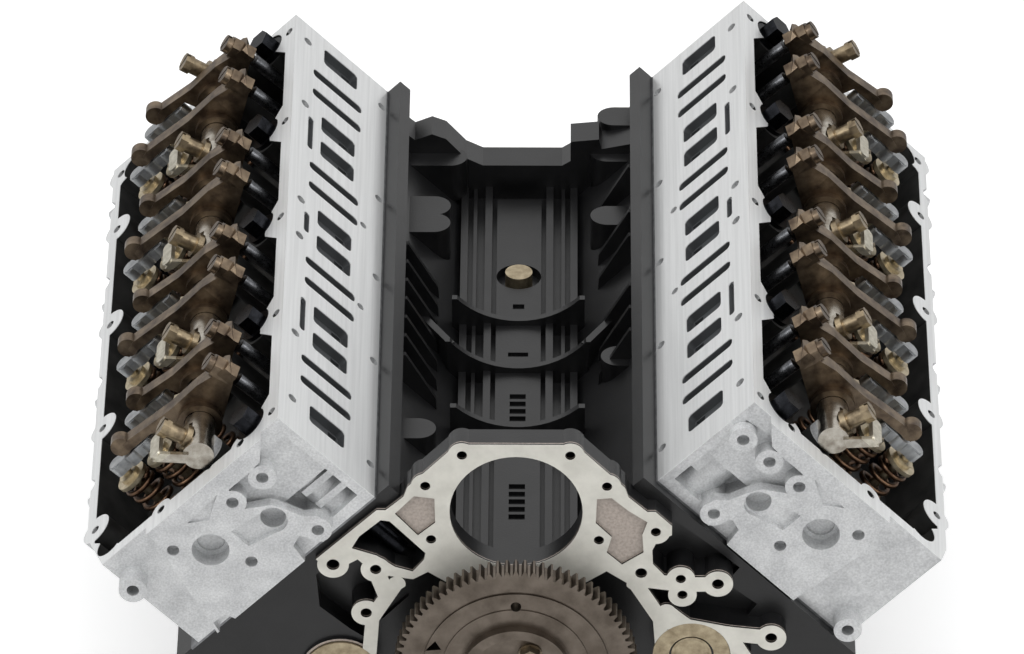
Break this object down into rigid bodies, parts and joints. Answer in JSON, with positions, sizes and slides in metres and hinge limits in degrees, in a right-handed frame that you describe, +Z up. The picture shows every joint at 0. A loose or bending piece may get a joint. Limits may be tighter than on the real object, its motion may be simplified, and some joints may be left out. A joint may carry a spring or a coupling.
{
  "type": "long block engine",
  "caption": "V-shaped overhead-valve diesel long block with open rocker gear, gear-driven camshaft, moving crankshaft, pistons and valves; no sump, covers or manifolds.",
  "frame": {"origin": "on the crankshaft's axis, at the rear face of its flywheel flange", "axes": "+X to the right seen from the front, +Y along the crankshaft to the rear, +Z up between the banks"},
  "size_m": [0.5854, 0.65, 0.4152],
  "materials": {
    "block_paint": "satin black paint on cast iron",
    "head_casting": "bead-blasted casting with machined faces",
    "gasket": "coated sheet",
    "black_bolts": "black oxide",
    "shaft_steel": "ground",
    "bronze_bolts": "yellow-brown phosphate",
    "cap_iron": "cast with machined joints",
    "plug_steel": "passivated, yellowish",
    "bearing_metal": "bearing alloy",
    "seal_rubber": "moulded",
    "spring_steel": "dark brown, phosphated",
    "crank_steel": "forged with ground journals",
    "gear_steel": "phosphated, brownish",
    "cam_steel": "ground lobes",
    "gear_bolts": "phosphated",
    "piston_alloy": "turned",
    "rod_steel": "forged",
    "rocker_steel": "phosphated, brown",
    "pushrod_steel": "blackened",
    "bridge_steel": "machined",
    "valve_steel": "cream-brown retainers on ground stems"
  },
  "bodies": {
    "long_block": {"cylinder_block": "block_paint", "head_left": "head_casting", "head_right": "head_casting", "head_gasket_left": "gasket", "head_gasket_right": "gasket", "head_bolts_left": "black_bolts", "head_bolts_right": "black_bolts", "rocker_shaft_left": "shaft_steel", "rocker_shaft_right": "shaft_steel", "shaft_bolts_left": "bronze_bolts", "shaft_bolts_right": "bronze_bolts", "main_caps": "cap_iron", "main_cap_bolts": "black_bolts", "core_plugs": "plug_steel", "main_bearings": "bearing_metal", "cam_bearings": "bearing_metal", "rear_seal": "seal_rubber", "springs_left_front": "spring_steel", "springs_left_rear": "spring_steel", "springs_right_front": "spring_steel", "springs_right_rear": "spring_steel"},
    "crankshaft": {"crankshaft": "crank_steel", "crank_gear": "gear_steel"},
    "camshaft": {"camshaft": "cam_steel", "cam_gear": "gear_steel", "cam_gear_bolts": "gear_bolts"},
    "piston_1": {"piston_1": "piston_alloy"},
    "rod_1": {"rod_1": "rod_steel"},
    "piston_2": {"piston_2": "piston_alloy"},
    "rod_2": {"rod_2": "rod_steel"},
    "piston_3": {"piston_3": "piston_alloy"},
    "rod_3": {"rod_3": "rod_steel"},
    "piston_4": {"piston_4": "piston_alloy"},
    "rod_4": {"rod_4": "rod_steel"},
    "piston_5": {"piston_5": "piston_alloy"},
    "rod_5": {"rod_5": "rod_steel"},
    "piston_6": {"piston_6": "piston_alloy"},
    "rod_6": {"rod_6": "rod_steel"},
    "piston_7": {"piston_7": "piston_alloy"},
    "rod_7": {"rod_7": "rod_steel"},
    "piston_8": {"piston_8": "piston_alloy"},
    "rod_8": {"rod_8": "rod_steel"},
    "rockers_left_front": {"rockers_left_front": "rocker_steel"},
    "pushrods_left_front": {"pushrods_left_front": "pushrod_steel"},
    "valves_left_front": {"bridges_left_front": "bridge_steel", "valves_left_front": "valve_steel"},
    "rockers_left_rear": {"rockers_left_rear": "rocker_steel"},
    "pushrods_left_rear": {"pushrods_left_rear": "pushrod_steel"},
    "valves_left_rear": {"bridges_left_rear": "bridge_steel", "valves_left_rear": "valve_steel"},
    "rockers_right_front": {"rockers_right_front": "rocker_steel"},
    "pushrods_right_front": {"pushrods_right_front": "pushrod_steel"},
    "valves_right_front": {"bridges_right_front": "bridge_steel", "valves_right_front": "valve_steel"},
    "rockers_right_rear": {"rockers_right_rear": "rocker_steel"},
    "pushrods_right_rear": {"pushrods_right_rear": "pushrod_steel"},
    "valves_right_rear": {"bridges_right_rear": "bridge_steel", "valves_right_rear": "valve_steel"}
  },
  "joints": [
    {"name": "crankshaft_turn", "type": "hinge", "parent": "long_block", "child": "crankshaft", "pos_m": [0, -0.53925, 0], "axis": [0, 1, 0], "range_deg": [-8, 8]},
    {"name": "camshaft_turn", "type": "hinge", "parent": "long_block", "child": "camshaft", "pos_m": [0, -0.53925, 0.11975], "axis": [0, 1, 0], "range_deg": [-4.1, 4.1]},
    {"name": "piston_1_slide", "type": "slide", "parent": "long_block", "child": "piston_1", "axis": [-0.7071, 0, 0.7071], "range_m": [-0.0062, 0.0062]},
    {"name": "rod_1_swing", "type": "hinge", "parent": "piston_1", "child": "rod_1", "pos_m": [-0.12425, -0.4895, 0.12425], "axis": [0, 1, 0], "range_deg": [-2.1, 2.1]},
    {"name": "piston_2_slide", "type": "slide", "parent": "long_block", "child": "piston_2", "axis": [0.7071, 0, 0.7071], "range_m": [-0.0062, 0.0062]},
    {"name": "rod_2_swing", "type": "hinge", "parent": "piston_2", "child": "rod_2", "pos_m": [0.12425, -0.469, 0.12425], "axis": [0, 1, 0], "range_deg": [-2.1, 2.1]},
    {"name": "piston_3_slide", "type": "slide", "parent": "long_block", "child": "piston_3", "axis": [-0.7071, 0, 0.7071], "range_m": [-0.00377, 0.00377]},
    {"name": "rod_3_swing", "type": "hinge", "parent": "piston_3", "child": "rod_3", "pos_m": [-0.07475, -0.3695, 0.07475], "axis": [0, 1, 0], "range_deg": [-2.1, 2.1]},
    {"name": "piston_4_slide", "type": "slide", "parent": "long_block", "child": "piston_4", "axis": [0.7071, 0, 0.7071], "range_m": [-0.0062, 0.0062]},
    {"name": "rod_4_swing", "type": "hinge", "parent": "piston_4", "child": "rod_4", "pos_m": [0.12425, -0.349, 0.12425], "axis": [0, 1, 0], "range_deg": [-2.1, 2.1]},
    {"name": "piston_5_slide", "type": "slide", "parent": "long_block", "child": "piston_5", "axis": [-0.7071, 0, 0.7071], "range_m": [-0.0062, 0.0062]},
    {"name": "rod_5_swing", "type": "hinge", "parent": "piston_5", "child": "rod_5", "pos_m": [-0.12425, -0.2495, 0.12425], "axis": [0, 1, 0], "range_deg": [-2.1, 2.1]},
    {"name": "piston_6_slide", "type": "slide", "parent": "long_block", "child": "piston_6", "axis": [0.7071, 0, 0.7071], "range_m": [-0.00377, 0.00377]},
    {"name": "rod_6_swing", "type": "hinge", "parent": "piston_6", "child": "rod_6", "pos_m": [0.07475, -0.229, 0.07475], "axis": [0, 1, 0], "range_deg": [-2.1, 2.1]},
    {"name": "piston_7_slide", "type": "slide", "parent": "long_block", "child": "piston_7", "axis": [-0.7071, 0, 0.7071], "range_m": [-0.00377, 0.00377]},
    {"name": "rod_7_swing", "type": "hinge", "parent": "piston_7", "child": "rod_7", "pos_m": [-0.07475, -0.1295, 0.07475], "axis": [0, 1, 0], "range_deg": [-2.1, 2.1]},
    {"name": "piston_8_slide", "type": "slide", "parent": "long_block", "child": "piston_8", "axis": [0.7071, 0, 0.7071], "range_m": [-0.00377, 0.00377]},
    {"name": "rod_8_swing", "type": "hinge", "parent": "piston_8", "child": "rod_8", "pos_m": [0.07475, -0.109, 0.07475], "axis": [0, 1, 0], "range_deg": [-2.1, 2.1]},
    {"name": "rockers_left_front_tilt", "type": "hinge", "parent": "long_block", "child": "rockers_left_front", "pos_m": [-0.21178, -0.3095, 0.26552], "axis": [0, -1, 0], "range_deg": [0, 9.55], "stiffness_Nm_per_rad": 40, "springref_deg": -20.05},
    {"name": "pushrods_left_front_lift", "type": "slide", "parent": "long_block", "child": "pushrods_left_front", "axis": [-0.7071, 0, 0.7071], "range_m": [0, 0.0064]},
    {"name": "valves_left_front_open", "type": "slide", "parent": "long_block", "child": "valves_left_front", "axis": [0.7071, 0, -0.7071], "range_m": [0, 0.0093], "deforming": ["springs_left_front"]},
    {"name": "rockers_left_rear_tilt", "type": "hinge", "parent": "long_block", "child": "rockers_left_rear", "pos_m": [-0.21178, -0.3095, 0.26552], "axis": [0, -1, 0], "range_deg": [0, 9.55], "stiffness_Nm_per_rad": 40, "springref_deg": -20.05},
    {"name": "pushrods_left_rear_lift", "type": "slide", "parent": "long_block", "child": "pushrods_left_rear", "axis": [-0.7071, 0, 0.7071], "range_m": [0, 0.0064]},
    {"name": "valves_left_rear_open", "type": "slide", "parent": "long_block", "child": "valves_left_rear", "axis": [0.7071, 0, -0.7071], "range_m": [0, 0.0072], "deforming": ["springs_left_rear"]},
    {"name": "rockers_right_front_tilt", "type": "hinge", "parent": "long_block", "child": "rockers_right_front", "pos_m": [0.21178, -0.289, 0.26552], "axis": [0, 1, 0], "range_deg": [0, 9.55], "stiffness_Nm_per_rad": 40, "springref_deg": -20.05},
    {"name": "pushrods_right_front_lift", "type": "slide", "parent": "long_block", "child": "pushrods_right_front", "axis": [0.7071, 0, 0.7071], "range_m": [0, 0.0064]},
    {"name": "valves_right_front_open", "type": "slide", "parent": "long_block", "child": "valves_right_front", "axis": [-0.7071, 0, -0.7071], "range_m": [0, 0.0093], "deforming": ["springs_right_front"]},
    {"name": "rockers_right_rear_tilt", "type": "hinge", "parent": "long_block", "child": "rockers_right_rear", "pos_m": [0.21178, -0.289, 0.26552], "axis": [0, 1, 0], "range_deg": [0, 9.55], "stiffness_Nm_per_rad": 40, "springref_deg": -20.05},
    {"name": "pushrods_right_rear_lift", "type": "slide", "parent": "long_block", "child": "pushrods_right_rear", "axis": [0.7071, 0, 0.7071], "range_m": [0, 0.0064]},
    {"name": "valves_right_rear_open", "type": "slide", "parent": "long_block", "child": "valves_right_rear", "axis": [-0.7071, 0, -0.7071], "range_m": [0, 0.0072], "deforming": ["springs_right_rear"]}
  ],
  "couplings": [
    {"joint": "camshaft_turn", "follows": "crankshaft_turn", "ratio": -0.5},
    {"joint": "piston_1_slide", "follows": "crankshaft_turn", "m_per_rad": -0.043708},
    {"joint": "rod_1_swing", "follows": "crankshaft_turn", "ratio": -0.24875},
    {"joint": "piston_2_slide", "follows": "crankshaft_turn", "m_per_rad": 0.043708},
    {"joint": "rod_2_swing", "follows": "crankshaft_turn", "ratio": -0.24875},
    {"joint": "piston_3_slide", "follows": "crankshaft_turn", "m_per_rad": -0.026295},
    {"joint": "rod_3_swing", "follows": "crankshaft_turn", "ratio": 0.24875},
    {"joint": "piston_4_slide", "follows": "crankshaft_turn", "m_per_rad": -0.043708},
    {"joint": "rod_4_swing", "follows": "crankshaft_turn", "ratio": -0.24875},
    {"joint": "piston_5_slide", "follows": "crankshaft_turn", "m_per_rad": 0.043708},
    {"joint": "rod_5_swing", "follows": "crankshaft_turn", "ratio": -0.24875},
    {"joint": "piston_6_slide", "follows": "crankshaft_turn", "m_per_rad": 0.026295},
    {"joint": "rod_6_swing", "follows": "crankshaft_turn", "ratio": 0.24875},
    {"joint": "piston_7_slide", "follows": "crankshaft_turn", "m_per_rad": 0.026295},
    {"joint": "rod_7_swing", "follows": "crankshaft_turn", "ratio": 0.24875},
    {"joint": "piston_8_slide", "follows": "crankshaft_turn", "m_per_rad": -0.026295},
    {"joint": "rod_8_swing", "follows": "crankshaft_turn", "ratio": 0.24875},
    {"joint": "pushrods_left_front_lift", "follows": "rockers_left_front_tilt", "m_per_rad": 0.038},
    {"joint": "valves_left_front_open", "follows": "rockers_left_front_tilt", "m_per_rad": 0.0555},
    {"joint": "pushrods_left_rear_lift", "follows": "rockers_left_rear_tilt", "m_per_rad": 0.038},
    {"joint": "valves_left_rear_open", "follows": "rockers_left_rear_tilt", "m_per_rad": 0.043},
    {"joint": "pushrods_right_front_lift", "follows": "rockers_right_front_tilt", "m_per_rad": 0.038},
    {"joint": "valves_right_front_open", "follows": "rockers_right_front_tilt", "m_per_rad": 0.0555},
    {"joint": "pushrods_right_rear_lift", "follows": "rockers_right_rear_tilt", "m_per_rad": 0.038},
    {"joint": "valves_right_rear_open", "follows": "rockers_right_rear_tilt", "m_per_rad": 0.043}
  ]
}
